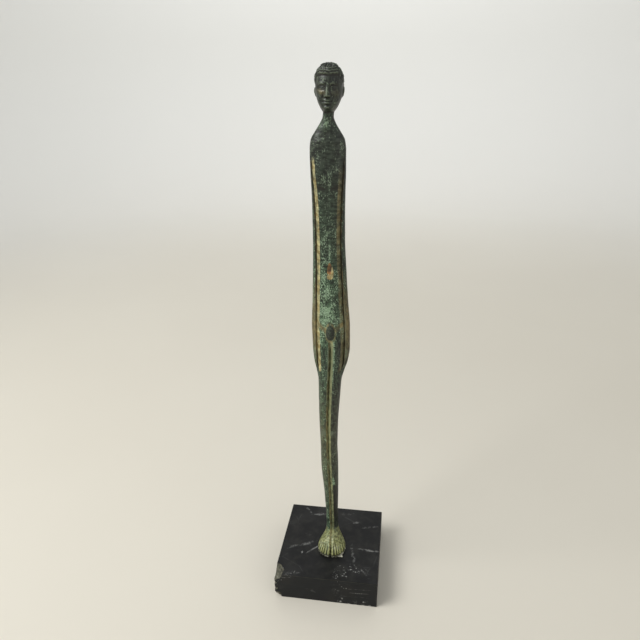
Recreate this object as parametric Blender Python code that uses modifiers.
"""Elongated votive youth of cast bronze on a black marble plinth, at its real size.

Metres, +Z up. The origin is the centre of the plinth's underside, and the figure faces -Y.
The figure is one casting. It is a tube of level sections from the soles to the crown: the stations give
each section's size, and reliefs and creases carve the anatomy, arms, hands, hair and toes into it.
"""

import math
from typing import NamedTuple

import bmesh
import bpy
from mathutils import Vector, noise

MM = 0.001

# Driving dimensions
PLINTH_SIDE = 70 * MM
PLINTH_HEIGHT = 20 * MM
PLINTH_EDGE = 0.4 * MM
FIGURE_HEIGHT = 316 * MM
SOLE_GAP = 0.3 * MM

BRONZE_COLOUR = (0.13, 0.16, 0.12)
MARBLE_COLOUR = (0.02, 0.02, 0.022)

# The tube's mesh: level rings, in spans of low end, high end and count, and columns at these shares of
# the half width from the middle to the side
COLUMN_SHARES = (0.0, 0.08, 0.19, 0.30, 0.40, 0.50, 0.58, 0.66, 0.74, 0.82, 0.90, 0.97, 1.0)
QUARTER = len(COLUMN_SHARES) - 1
COLUMNS = 4 * QUARTER
GROOVE_COLUMN = 0.74
RING_SPANS = (
    (0.0, 6.0, 8),
    (6.0, 14.0, 6),
    (14.0, 132.0, 14),
    (132.0, 180.0, 15),
    (180.0, 262.0, 10),
    (262.0, 290.0, 11),
    (290.0, 306.0, 20),
)
CRANIUM_RINGS = 14

FRONT = -1
BACK = 1


class Station(NamedTuple):
    """A level section of the figure, in millimetres above the soles."""

    name: str
    height: float
    half_width: float
    front: float
    back: float
    middle: float
    sway: float
    squareness: float


class Relief(NamedTuple):
    """A rounded swelling, or with a negative height a hollow, on the front or the back, in millimetres."""

    name: str
    side: int
    x: float
    height: float
    reach_x: float
    reach_z: float
    proud: float
    paired: bool


class Crease(NamedTuple):
    """A carved line between two points (x, height) on the front or the back, in millimetres."""

    name: str
    side: int
    start: tuple
    end: tuple
    reach: float
    depth: float
    paired: bool


class Chip(NamedTuple):
    """A break in the marble: where its cutter sits from the front left lower corner, in millimetres."""

    name: str
    centre: tuple
    radii: tuple
    seed: float


STATIONS = (
    Station("sole", 0.0, 9.0, 8.6, 15.0, -6.0, 1.0, 2.2),
    Station("ball of the foot", 1.8, 9.7, 9.3, 15.4, -6.2, 1.0, 2.3),
    Station("toes", 3.6, 9.2, 8.8, 15.0, -5.4, 1.0, 2.3),
    Station("instep", 6.0, 7.3, 7.4, 12.2, -2.8, 0.9, 2.2),
    Station("upper instep", 9.0, 5.3, 5.5, 8.2, -0.2, 0.8, 2.1),
    Station("ankle bone", 12.5, 4.3, 4.3, 5.1, 1.1, 0.7, 2.1),
    Station("ankle", 18.0, 4.0, 3.8, 4.2, 1.4, 0.5, 2.1),
    Station("lower calf", 42.0, 4.8, 4.0, 4.7, 1.4, 0.1, 2.1),
    Station("calf", 68.0, 5.8, 4.4, 5.2, 1.2, -0.8, 2.1),
    Station("below the knee", 85.0, 5.7, 4.7, 4.7, 0.5, -1.0, 2.1),
    Station("knee", 95.0, 6.0, 4.9, 4.5, 0.2, -1.0, 2.1),
    Station("above the knee", 105.0, 6.3, 4.9, 4.6, 0.2, -0.9, 2.1),
    Station("thigh", 120.0, 6.9, 5.2, 5.2, 0.3, -0.4, 2.2),
    Station("below the hands", 133.0, 7.4, 5.3, 5.6, 0.4, 0.1, 2.2),
    Station("fingertips", 140.0, 8.9, 5.3, 5.9, 0.5, 0.5, 2.3),
    Station("fingers", 147.0, 10.7, 5.3, 6.1, 0.5, 0.9, 2.3),
    Station("hands", 156.0, 11.6, 5.2, 6.2, 0.5, 1.1, 2.4),
    Station("wrists", 168.0, 11.7, 5.1, 6.0, 0.4, 1.0, 2.4),
    Station("hips", 186.0, 10.8, 5.0, 5.2, 0.2, 0.8, 2.4),
    Station("navel", 206.0, 9.9, 4.7, 4.6, 0.0, 0.6, 2.4),
    Station("waist", 226.0, 9.3, 4.4, 4.3, -0.1, 0.4, 2.4),
    Station("ribs", 246.0, 9.4, 4.7, 4.6, 0.0, 0.4, 2.4),
    Station("chest", 262.0, 9.9, 5.0, 4.9, 0.1, 0.3, 2.4),
    Station("shoulders", 273.0, 10.0, 4.6, 4.7, 0.3, 0.2, 2.3),
    Station("shoulder round", 278.0, 9.4, 4.2, 4.4, 0.4, 0.2, 2.2),
    Station("shoulder slope", 283.0, 6.6, 3.7, 3.9, 0.5, 0.2, 2.1),
    Station("neck root", 287.0, 4.1, 3.2, 3.4, 0.5, 0.4, 2.0),
    Station("neck", 290.0, 3.0, 2.9, 3.1, 0.4, 0.6, 2.0),
    Station("throat", 292.0, 3.0, 3.2, 3.4, 0.4, 0.8, 2.0),
    Station("under the chin", 293.0, 3.6, 5.9, 3.8, 0.4, 0.9, 2.0),
    Station("chin", 294.3, 4.5, 7.6, 4.6, 0.4, 1.0, 2.0),
    Station("mouth", 297.2, 5.9, 8.2, 6.3, 0.5, 1.1, 2.1),
    Station("nose", 300.0, 6.8, 8.4, 8.1, 0.6, 1.2, 2.1),
    Station("cheekbones", 303.0, 7.3, 8.5, 9.3, 0.7, 1.2, 2.1),
    Station("temples", 306.0, 7.2, 8.7, 9.8, 0.8, 1.2, 2.1),
)
TEMPLES = STATIONS[-1]

RELIEFS = (
    Relief("brow", FRONT, 3.1, 306.0, 3.0, 1.3, 0.45, True),
    Relief("eye socket", FRONT, 3.1, 303.9, 2.8, 1.9, -0.9, True),
    Relief("eyeball", FRONT, 3.1, 303.8, 1.9, 1.2, 0.7, True),
    Relief("cheek", FRONT, 4.3, 300.9, 2.8, 2.4, 0.35, True),
    Relief("lips", FRONT, 0.0, 297.3, 2.9, 1.8, 0.6, False),
    Relief("hollow under the lip", FRONT, 0.0, 295.6, 2.6, 0.9, -0.4, False),
    Relief("chin ball", FRONT, 0.0, 294.4, 2.4, 1.4, 0.5, False),
    Relief("collarbone", FRONT, 3.8, 277.6, 3.8, 1.8, 0.3, True),
    Relief("hollow of the throat", FRONT, 0.0, 281.5, 1.8, 2.6, -0.35, False),
    Relief("breast", FRONT, 3.9, 261.0, 4.2, 8.0, 0.6, True),
    Relief("belly", FRONT, 0.0, 194.0, 7.0, 16.0, 0.5, False),
    Relief("navel", FRONT, 0.6, 206.8, 2.0, 4.6, -0.9, False),
    Relief("groin boss", FRONT, 0.2, 166.6, 3.3, 6.0, 1.5, False),
    Relief("thumb", FRONT, 9.4, 153.0, 1.2, 6.0, 0.5, True),
    Relief("thigh muscle", FRONT, 3.6, 124.0, 3.0, 17.0, 0.3, True),
    Relief("kneecap", FRONT, 2.9, 95.0, 2.2, 5.0, 0.6, True),
    Relief("shoulder blade", BACK, 4.4, 261.0, 3.8, 10.0, 0.5, True),
    Relief("elbow", BACK, 8.2, 215.0, 1.3, 5.0, 0.4, True),
    Relief("buttock", BACK, 4.0, 166.0, 4.4, 12.0, 0.9, True),
    Relief("knee hollow", BACK, 3.0, 96.0, 2.6, 7.0, -0.4, True),
    Relief("calf muscle", BACK, 2.9, 71.0, 2.8, 17.0, 0.6, True),
)

CREASES = (
    Crease("mouth line", FRONT, (0.0, 297.2), (2.2, 297.4), 0.8, 0.4, True),
    Crease("breastbone line", FRONT, (0.0, 268.0), (0.0, 214.0), 1.0, 0.3, False),
    Crease("breast line", FRONT, (6.6, 253.5), (1.6, 252.0), 1.8, 0.3, True),
    Crease("hip line", FRONT, (8.0, 173.0), (2.9, 168.0), 1.7, 0.5, True),
    Crease("spine", BACK, (0.0, 272.0), (0.0, 190.0), 1.6, 0.5, False),
    Crease("cleft", BACK, (0.0, 178.0), (0.0, 152.0), 1.5, 1.2, False),
    Crease("crease under the buttock", BACK, (1.5, 154.0), (6.0, 155.5), 1.4, 0.4, True),
)

CHIPS = (
    Chip("chip above", (-0.6, 2.8, 20.4), (6.6, 7.2, 5.4), 3.1),
    Chip("chip below", (0.4, -1.0, -0.4), (4.6, 3.4, 5.2), 7.7),
)
CHIP_ROUGHNESS = 0.22
CHIP_GRAIN = 1.7

# Arms: each lies along the side behind a groove, from the armpit to the fingertips. Fades are the
# lengths over which the groove runs out.
ARMPIT_HEIGHT = 273.0
ARMPIT_FADE = 9.0
FINGERTIP_FADE = 7.0
GROOVE_SHARES = ((138.0, 0.80), (150.0, 0.72), (206.0, 0.72), (226.0, 0.74), (246.0, 0.79), (272.0, 0.90))
GROOVE_DEPTH = 1.2
GROOVE_REACH_TO_BODY = 1.6
GROOVE_REACH_TO_ARM = 0.9
FINGERTIP_HEIGHT = 138.0
FINGER_ROOT_HEIGHT = 151.0
FINGER_LINES = (-2.7, 0.0, 2.7)
FINGER_LINE_DEPTH = 0.6
FINGER_LINE_REACH = 0.9
HAND_SHARE = 0.8

# Legs and feet: pressed together, with a notch between them in front and behind
CROTCH_HEIGHT = 162.0
NOTCH_FADE = 8.0
NOTCH_DEPTH = 0.31
NOTCH_HALF_WIDTH = 1.3
HEEL_PINCH = 0.36
HEEL_TOP = 13.0

# Toes: their edges as shares of a foot's width, from the big toe outwards
TOE_EDGES = (0.0, 0.30, 0.50, 0.66, 0.82, 0.97)
TOE_TOP = 7.6
TOE_SCALLOP = 0.12

# Head
HEAD_FROM = 294.3
HAIR_THICKNESS = 0.7
HAIRLINE_FRONT = 310.2
HAIRLINE_EAR = 304.2
HAIRLINE_NAPE = 297.0
HAIR_EDGE = 1.0
FRINGE_ROLL = 0.3
FRINGE_HALF_WIDTH = 1.4
LOCKS_AROUND = 12
LOCK_SWIRL = 0.5
LOCK_RELIEF = 0.3
LOCKS_FADE = 3.2
CRANIUM_TOP = FIGURE_HEIGHT / MM - HAIR_THICKNESS
HEAD_CENTRE_HEIGHT = 304.0
NOSE_ROOT = 304.6
NOSE_TIP = 300.0
NOSE_PROUD = 2.1
BRIDGE_PROUD = 0.35
BRIDGE_HALF_WIDTH = 1.3
NOSTRILS_HALF_WIDTH = 2.2
NOSE_UNDERSIDE = 1.0
BRIDGE_FADE = 1.5
EAR_HEIGHT = 302.0
EAR_BACKWARD = 1.2
EAR_PROUD = 0.8
EAR_HALF_WIDTH = 2.6
EAR_HALF_HEIGHT = 3.6
EAR_FROM_MIDDLE = 4.0


def smooth_step(low, high, value):
    """0 below low, 1 above high, and an even S between them."""
    share = min(1.0, max(0.0, (value - low) / (high - low)))
    return share * share * (3.0 - 2.0 * share)


def bell(distance, reach):
    """1 at no distance, falling smoothly to 0 at reach."""
    share = max(0.0, 1.0 - (distance / reach) ** 2)
    return share * share


def interpolated(points, at):
    """A value read from (position, value) pairs along straight lines."""
    if at <= points[0][0]:
        return points[0][1]
    for (low, first), (high, second) in zip(points, points[1:]):
        if at <= high:
            return first + (second - first) * (at - low) / (high - low)
    return points[-1][1]


def slope_at(index, field):
    """A station's slope for one field, from its two neighbours, and level at both ends."""
    if index in (0, len(STATIONS) - 1):
        return 0.0
    before, here, after = STATIONS[index - 1 : index + 2]
    below = (getattr(here, field) - getattr(before, field)) / (here.height - before.height)
    above = (getattr(after, field) - getattr(here, field)) / (after.height - here.height)
    if below * above <= 0.0:
        return 0.0
    return 2.0 * below * above / (below + above)


def section_size(height, field):
    """One measure of the section at a height, on a smooth curve through the stations."""
    if height >= TEMPLES.height:
        return getattr(TEMPLES, field)
    index = next(i for i in range(len(STATIONS) - 1) if height < STATIONS[i + 1].height)
    lower, upper = STATIONS[index], STATIONS[index + 1]
    span = upper.height - lower.height
    t = (height - lower.height) / span
    rise = getattr(upper, field) - getattr(lower, field)
    start, end = slope_at(index, field) * span, slope_at(index + 1, field) * span
    return getattr(lower, field) + t * (
        start + t * (3.0 * rise - 2.0 * start - end + t * (start + end - 2.0 * rise))
    )


def groove_share(height):
    """Where the groove between arm and body lies, as a share of the half width."""
    return interpolated(GROOVE_SHARES, height)


def warped_share(share, height):
    """Moves the mesh's columns sideways so that one of them always follows the arm's groove."""
    on_arm = smooth_step(FINGERTIP_HEIGHT - FINGERTIP_FADE, FINGERTIP_HEIGHT, height)
    on_arm *= 1.0 - smooth_step(ARMPIT_HEIGHT, ARMPIT_HEIGHT + ARMPIT_FADE, height)
    groove = GROOVE_COLUMN + (groove_share(height) - GROOVE_COLUMN) * on_arm
    if share <= GROOVE_COLUMN:
        return share * groove / GROOVE_COLUMN
    return 1.0 - (1.0 - share) * (1.0 - groove) / (1.0 - GROOVE_COLUMN)


def oval_depth(share, squareness):
    """Depth of a squared oval at a share of its half width."""
    return (1.0 - share**squareness) ** (1.0 / squareness)


def leg_notch_depth(x, height):
    """Depth of the notch between the legs, as a share of the section's reach."""
    fade = 1.0 - smooth_step(CROTCH_HEIGHT - NOTCH_FADE, CROTCH_HEIGHT, height)
    return NOTCH_DEPTH * fade * max(0.0, 1.0 - abs(x) / NOTCH_HALF_WIDTH)


def cranium_share(height):
    """How much of the head's girth is left at a height above the temples."""
    if height <= TEMPLES.height:
        return 1.0
    rise = min(1.0, (height - TEMPLES.height) / (CRANIUM_TOP - TEMPLES.height))
    return math.sqrt(1.0 - rise * rise)


def relief_height(side, x, height):
    """How far the swellings and hollows push the surface out at a point."""
    total = 0.0
    for relief in RELIEFS:
        if relief.side != side:
            continue
        vertical = bell(height - relief.height, relief.reach_z)
        across = abs(x) - relief.x if relief.paired else x - relief.x
        total += relief.proud * vertical * bell(across, relief.reach_x)
    return total


def crease_depth(side, x, height):
    """How deep the carved lines cut at a point."""
    total = 0.0
    for crease in CREASES:
        if crease.side != side:
            continue
        across = abs(x) if crease.paired else x
        start, end = Vector(crease.start), Vector(crease.end)
        along = end - start
        point = Vector((across, height))
        share = min(1.0, max(0.0, (point - start).dot(along) / along.length_squared))
        total += crease.depth * bell((point - start - share * along).length, crease.reach)
    return total


def arm_groove_depth(share, half_width, height):
    """Depth of the groove between arm and body, fading out at the armpit and the fingertips."""
    fade = smooth_step(FINGERTIP_HEIGHT, FINGERTIP_HEIGHT + FINGERTIP_FADE, height)
    fade *= 1.0 - smooth_step(ARMPIT_HEIGHT - ARMPIT_FADE, ARMPIT_HEIGHT, height)
    outwards = (share - groove_share(height)) * half_width
    reach = GROOVE_REACH_TO_ARM if outwards > 0.0 else GROOVE_REACH_TO_BODY
    return GROOVE_DEPTH * fade * max(0.0, 1.0 - abs(outwards) / reach)


def nose_height(x, height):
    """Height of the nose above the face: a wedge from the brow to the tip, cut off below."""
    down = min(1.0, max(0.0, (NOSE_ROOT - height) / (NOSE_ROOT - NOSE_TIP)))
    ridge = BRIDGE_PROUD + (NOSE_PROUD - BRIDGE_PROUD) * down
    ridge *= smooth_step(NOSE_TIP - NOSE_UNDERSIDE, NOSE_TIP, height)
    ridge *= 1.0 - smooth_step(NOSE_ROOT, NOSE_ROOT + BRIDGE_FADE, height)
    half_width = BRIDGE_HALF_WIDTH + (NOSTRILS_HALF_WIDTH - BRIDGE_HALF_WIDTH) * down
    return ridge * bell(x, half_width)


def ear_height(side_distance, height):
    """Height of an ear's shell above the side of the head."""
    return EAR_PROUD * bell(side_distance, EAR_HALF_WIDTH) * bell(height - EAR_HEIGHT, EAR_HALF_HEIGHT)


def hairline_height(azimuth):
    """Lower edge of the hair at an angle from the face's middle: over the ear, then down to the nape."""
    to_ear = smooth_step(math.radians(45.0), math.radians(70.0), azimuth)
    to_nape = smooth_step(math.radians(108.0), math.radians(130.0), azimuth)
    over_ear = HAIRLINE_FRONT + (HAIRLINE_EAR - HAIRLINE_FRONT) * to_ear
    return over_ear + (HAIRLINE_NAPE - HAIRLINE_EAR) * to_nape


def hair_height(point):
    """Thickness of the hair: locks that sweep round from the crown, and a roll along its edge."""
    azimuth = math.atan2(point.x, -point.y)
    above_edge = point.z - hairline_height(abs(azimuth))
    cover = smooth_step(0.0, HAIR_EDGE, above_edge)
    roll = FRINGE_ROLL * bell(above_edge - FRINGE_HALF_WIDTH, FRINGE_HALF_WIDTH)
    sweep = LOCKS_AROUND * azimuth + LOCK_SWIRL * (CRANIUM_TOP - point.z)
    from_crown = smooth_step(0.0, LOCKS_FADE, math.hypot(point.x, point.y))
    return cover * (HAIR_THICKNESS + roll + LOCK_RELIEF * from_crown * math.sin(sweep))


def toe_scale(share, side, height):
    """Shrinks the foot's outline between the toes."""
    if side != FRONT or height >= TOE_TOP or share >= TOE_EDGES[-1]:
        return 1.0
    index = next(i for i in range(len(TOE_EDGES) - 1) if share < TOE_EDGES[i + 1])
    low, high = TOE_EDGES[index : index + 2]
    roundness = math.sin(math.pi * (share - low) / (high - low))
    fade = smooth_step(-0.2 * TOE_TOP, 0.3 * TOE_TOP, height)
    fade *= 1.0 - smooth_step(0.45 * TOE_TOP, TOE_TOP, height)
    return 1.0 - TOE_SCALLOP * fade * (1.0 - roundness)


def heel_scale(side, depth_share, height):
    """Narrows the back of the feet towards the heels."""
    if side == FRONT:
        return 1.0
    fade = 1.0 - smooth_step(0.3 * HEEL_TOP, HEEL_TOP, height)
    return 1.0 - HEEL_PINCH * fade * smooth_step(0.0, 1.0, depth_share)


def finger_line_depth(y, height):
    """Depth of the lines between the fingers, on the outer side of a hand."""
    fade = smooth_step(FINGERTIP_HEIGHT - 2.0, FINGERTIP_HEIGHT + 2.0, height)
    fade *= 1.0 - smooth_step(FINGER_ROOT_HEIGHT - 4.0, FINGER_ROOT_HEIGHT, height)
    return FINGER_LINE_DEPTH * fade * max(bell(y - line, FINGER_LINE_REACH) for line in FINGER_LINES)


def body_point(share, sign, side, height):
    """A point of the body, in millimetres: share of the half width, left or right, front or back."""
    share = warped_share(share, height)
    girth = cranium_share(height)
    half_width = section_size(height, "half_width") * girth
    reach = section_size(height, "front" if side == FRONT else "back") * girth
    squareness = section_size(height, "squareness")
    depth_share = oval_depth(share, squareness)
    x = sign * share * half_width * heel_scale(side, depth_share, height)
    depth = reach * (depth_share - leg_notch_depth(x, height))
    edge_fade = smooth_step(1.0, 0.9, share)
    depth += edge_fade * (relief_height(side, x, height) - crease_depth(side, x, height))
    depth -= arm_groove_depth(share, half_width, height)
    if side == FRONT:
        depth += nose_height(x, height)
    depth = max(0.0, depth)
    y = side * depth
    if share > HAND_SHARE:
        x -= sign * finger_line_depth(y, height)
    if height < TOE_TOP:
        scale = toe_scale(share, side, height)
        x, y = x * scale, y * scale
    return Vector((x, y, height))


def head_carving(point):
    """Moves a point of the head outwards by its ear or hair."""
    ear = ear_height(point.y - EAR_BACKWARD, point.z) if abs(point.x) > EAR_FROM_MIDDLE else 0.0
    outwards = (point - Vector((0.0, 0.0, HEAD_CENTRE_HEIGHT))).normalized()
    return point + outwards * hair_height(point) + Vector((math.copysign(ear, point.x), 0.0, 0.0))


def figure_point(column, height):
    """A point on the figure's surface, in metres above the soles, for a column of the tube."""
    side = BACK if column <= COLUMNS // 2 else FRONT
    step = column if side == BACK else COLUMNS - column
    sign = 1 if step <= QUARTER else -1
    share = COLUMN_SHARES[QUARTER - step] if sign == 1 else COLUMN_SHARES[step - QUARTER]
    point = body_point(share, sign, side, height)
    if height > HEAD_FROM:
        point = head_carving(point)
    point.x += section_size(height, "sway")
    point.y += section_size(height, "middle")
    return point * MM


def ring_heights():
    """Heights of the tube's rings: close together at the toes and the face, wider along the body."""
    heights = [low + (high - low) * i / count for low, high, count in RING_SPANS for i in range(count)]
    for i in range(CRANIUM_RINGS + 1):
        rise = math.sin(0.5 * math.pi * i / CRANIUM_RINGS)
        heights.append(TEMPLES.height + (CRANIUM_TOP - TEMPLES.height) * rise)
    return heights


def remove_everything():
    """Clears the scene's objects."""
    for obj in list(bpy.data.objects):
        bpy.data.objects.remove(obj)


def new_collection(name):
    """Adds a collection to the scene."""
    collection = bpy.data.collections.new(name)
    bpy.context.scene.collection.children.link(collection)
    return collection


def material(name, colour, roughness, metallic):
    """A plain Principled BSDF."""
    made = bpy.data.materials.new(name)
    made.use_nodes = True
    shader = made.node_tree.nodes["Principled BSDF"]
    shader.inputs["Base Color"].default_value = (*colour, 1.0)
    shader.inputs["Roughness"].default_value = roughness
    shader.inputs["Metallic"].default_value = metallic
    return made


def mesh_object(name, bm, collection, finish=None):
    """Turns a bmesh into an object in a collection."""
    mesh = bpy.data.meshes.new(name)
    bm.to_mesh(mesh)
    bm.free()
    obj = bpy.data.objects.new(name, mesh)
    collection.objects.link(obj)
    if finish is not None:
        mesh.materials.append(finish)
    return obj


def make_figure(collection):
    """The bronze youth, from a unit tube whose rings and columns are moved to the figure's surface."""
    heights = ring_heights()
    bm = bmesh.new()
    bmesh.ops.create_cone(bm, cap_ends=True, segments=COLUMNS, radius1=1.0, radius2=1.0, depth=1.0)
    upright = [edge for edge in bm.edges if abs(edge.verts[0].co.z - edge.verts[1].co.z) > 0.5]
    bmesh.ops.subdivide_edges(bm, edges=upright, cuts=len(heights) - 2, use_grid_fill=True)
    for vertex in bm.verts:
        ring = round((vertex.co.z + 0.5) * (len(heights) - 1))
        turn = math.atan2(vertex.co.y, vertex.co.x) / (2.0 * math.pi)
        column = round(turn * COLUMNS) % COLUMNS
        vertex.co = figure_point(column, heights[ring])
    bmesh.ops.remove_doubles(bm, verts=bm.verts, dist=0.02 * MM)
    bmesh.ops.recalc_face_normals(bm, faces=bm.faces)
    finish = material("patinated bronze", BRONZE_COLOUR, roughness=0.5, metallic=0.7)
    figure = mesh_object("figure", bm, collection, finish)
    figure.location = (0.0, 0.0, PLINTH_HEIGHT + SOLE_GAP)
    figure.data.shade_smooth()
    return figure


def make_chip_cutter(chip, collection):
    """A rough lump that a chip in the marble is cut with."""
    bm = bmesh.new()
    bmesh.ops.create_icosphere(bm, subdivisions=2, radius=1.0)
    for vertex in bm.verts:
        bump = noise.noise(vertex.co * CHIP_GRAIN + Vector((chip.seed, chip.seed, chip.seed)))
        vertex.co *= 1.0 + CHIP_ROUGHNESS * bump
    bmesh.ops.scale(bm, vec=Vector(chip.radii) * MM, verts=bm.verts)
    cutter = mesh_object(chip.name, bm, collection)
    cutter.location = Vector((-PLINTH_SIDE / 2, -PLINTH_SIDE / 2, 0.0)) + Vector(chip.centre) * MM
    cutter.hide_render = True
    cutter.display_type = "WIRE"
    return cutter


def make_plinth(collection, cutters):
    """The marble block, with a broken front left corner."""
    bm = bmesh.new()
    bmesh.ops.create_cube(bm, size=1.0)
    bmesh.ops.scale(bm, vec=(PLINTH_SIDE, PLINTH_SIDE, PLINTH_HEIGHT), verts=bm.verts)
    bmesh.ops.translate(bm, vec=(0.0, 0.0, PLINTH_HEIGHT / 2), verts=bm.verts)
    finish = material("black marble", MARBLE_COLOUR, roughness=0.3, metallic=0.0)
    plinth = mesh_object("plinth", bm, collection, finish)
    edges = plinth.modifiers.new("worn edges", "BEVEL")
    edges.width = PLINTH_EDGE
    edges.segments = 2
    for chip in CHIPS:
        cut = plinth.modifiers.new(chip.name, "BOOLEAN")
        cut.operation = "DIFFERENCE"
        cut.object = make_chip_cutter(chip, cutters)
    return plinth


def main():
    """Builds the figure and its plinth."""
    remove_everything()
    parts = new_collection("votive bronze")
    cutters = new_collection("cutters")
    make_plinth(parts, cutters)
    make_figure(parts)


main()
